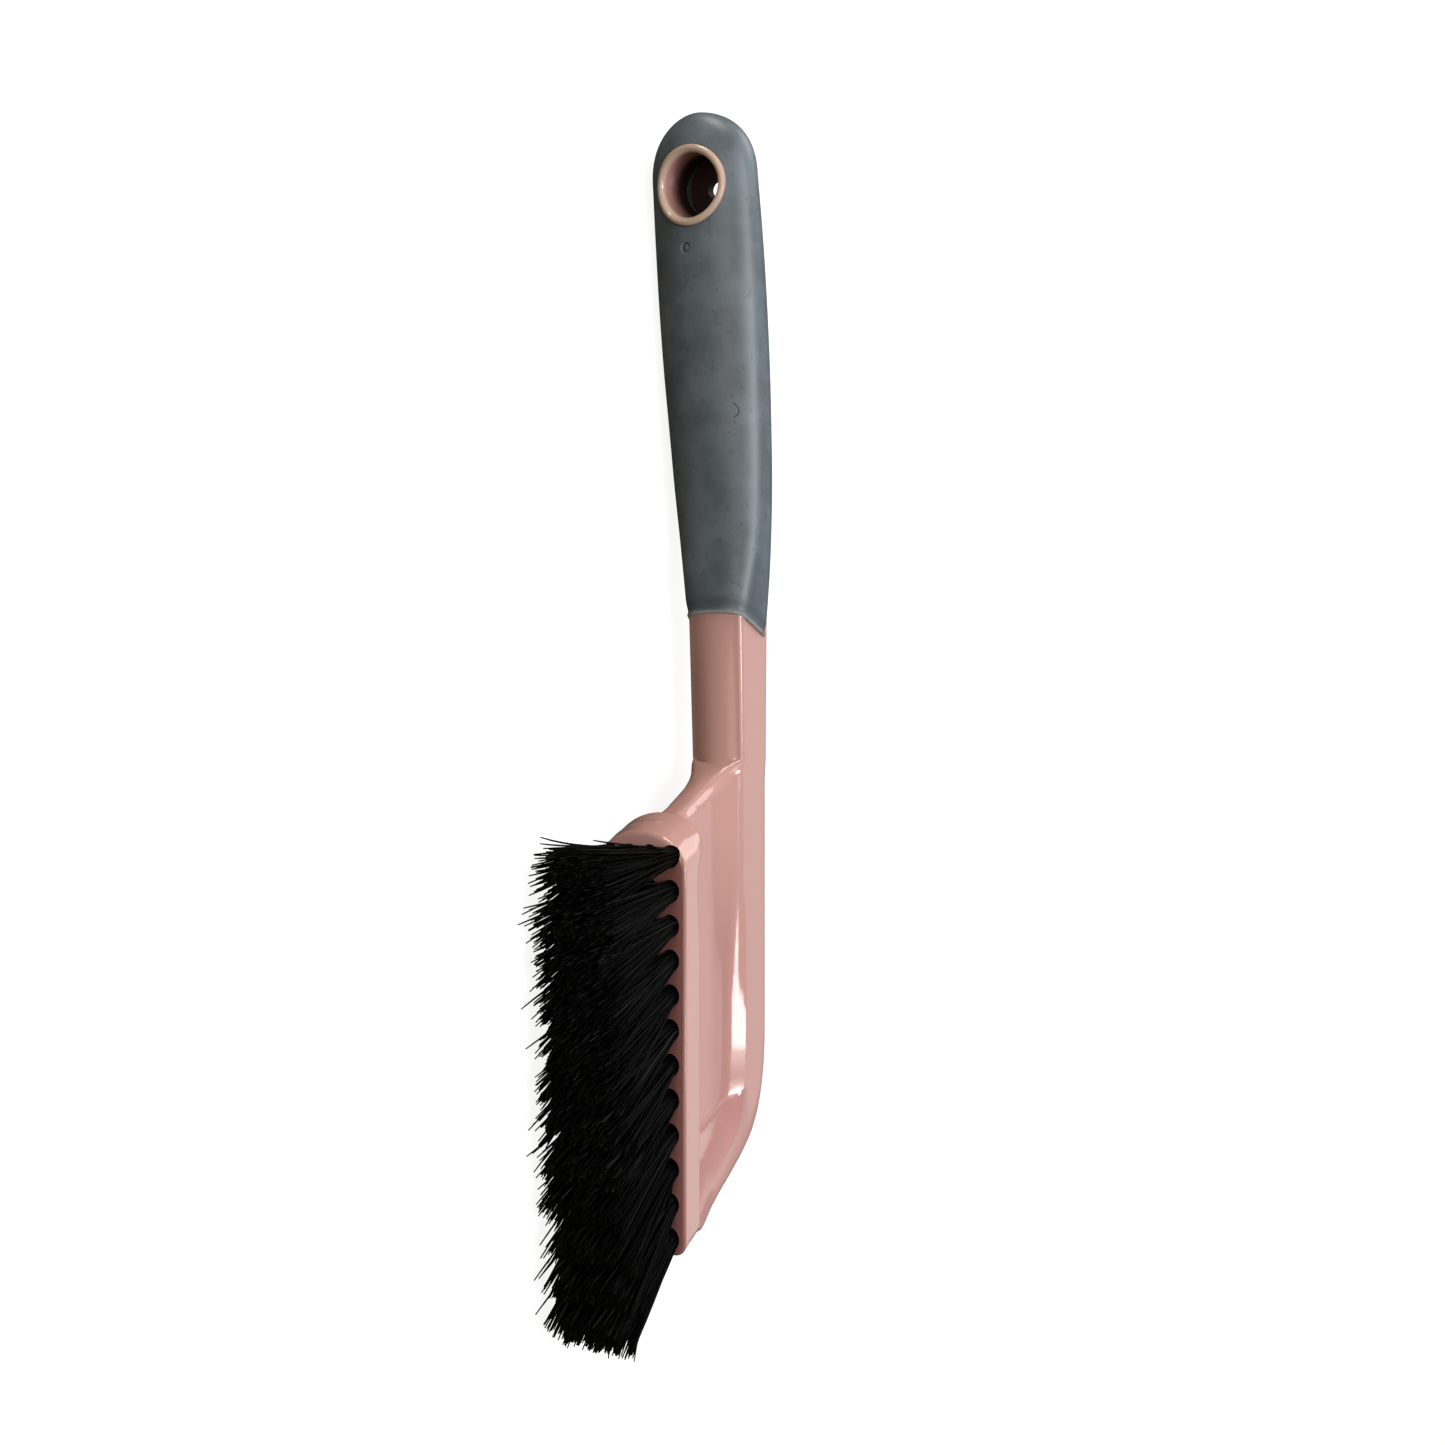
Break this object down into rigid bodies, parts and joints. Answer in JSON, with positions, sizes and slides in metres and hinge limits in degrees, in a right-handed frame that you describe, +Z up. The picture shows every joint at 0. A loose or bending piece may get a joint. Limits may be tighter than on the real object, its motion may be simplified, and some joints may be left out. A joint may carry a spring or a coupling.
{
  "type": "hand brush",
  "caption": "Hand brush of a dustpan set: one-piece plastic handle, web and bristle plate, soft grip sleeve with a hanging hole, and leaning rows of dark bristle tufts.",
  "frame": {"origin": "bottom centre of the whole brush as it lies on its side", "axes": "+X from the handle's end to the toe of the bristle head, +Y from the bristle tips to the spine, +Z up across the brush, so the bristles point to -Y"},
  "size_m": [0.2868, 0.0726, 0.0289],
  "materials": {
    "body_plastic": "glossy dusty pink moulding",
    "grip_rubber": "matte blue-grey soft-touch overmould",
    "bristle": "black crimp-free synthetic filament, slight sheen along its length"
  },
  "bodies": {
    "root": {"brush_body": "body_plastic", "soft_grip": "grip_rubber", "tuft_1_01": "bristle", "tuft_1_02": "bristle", "tuft_1_03": "bristle", "tuft_1_04": "bristle", "tuft_1_05": "bristle", "tuft_1_06": "bristle", "tuft_1_07": "bristle", "tuft_1_08": "bristle", "tuft_1_09": "bristle", "tuft_1_10": "bristle", "tuft_1_11": "bristle", "tuft_1_12": "bristle", "tuft_2_01": "bristle", "tuft_2_02": "bristle", "tuft_2_03": "bristle", "tuft_2_04": "bristle", "tuft_2_05": "bristle", "tuft_2_06": "bristle", "tuft_2_07": "bristle", "tuft_2_08": "bristle", "tuft_2_09": "bristle", "tuft_2_10": "bristle", "tuft_2_11": "bristle", "tuft_2_12": "bristle", "tuft_3_01": "bristle", "tuft_3_02": "bristle", "tuft_3_03": "bristle", "tuft_3_04": "bristle", "tuft_3_05": "bristle", "tuft_3_06": "bristle", "tuft_3_07": "bristle", "tuft_3_08": "bristle", "tuft_3_09": "bristle", "tuft_3_10": "bristle", "tuft_3_11": "bristle", "tuft_3_12": "bristle", "tuft_4_01": "bristle", "tuft_4_02": "bristle", "tuft_4_03": "bristle", "tuft_4_04": "bristle", "tuft_4_05": "bristle", "tuft_4_06": "bristle", "tuft_4_07": "bristle", "tuft_4_08": "bristle", "tuft_4_09": "bristle", "tuft_4_10": "bristle", "tuft_4_11": "bristle", "tuft_4_12": "bristle"}
  },
  "joints": []
}
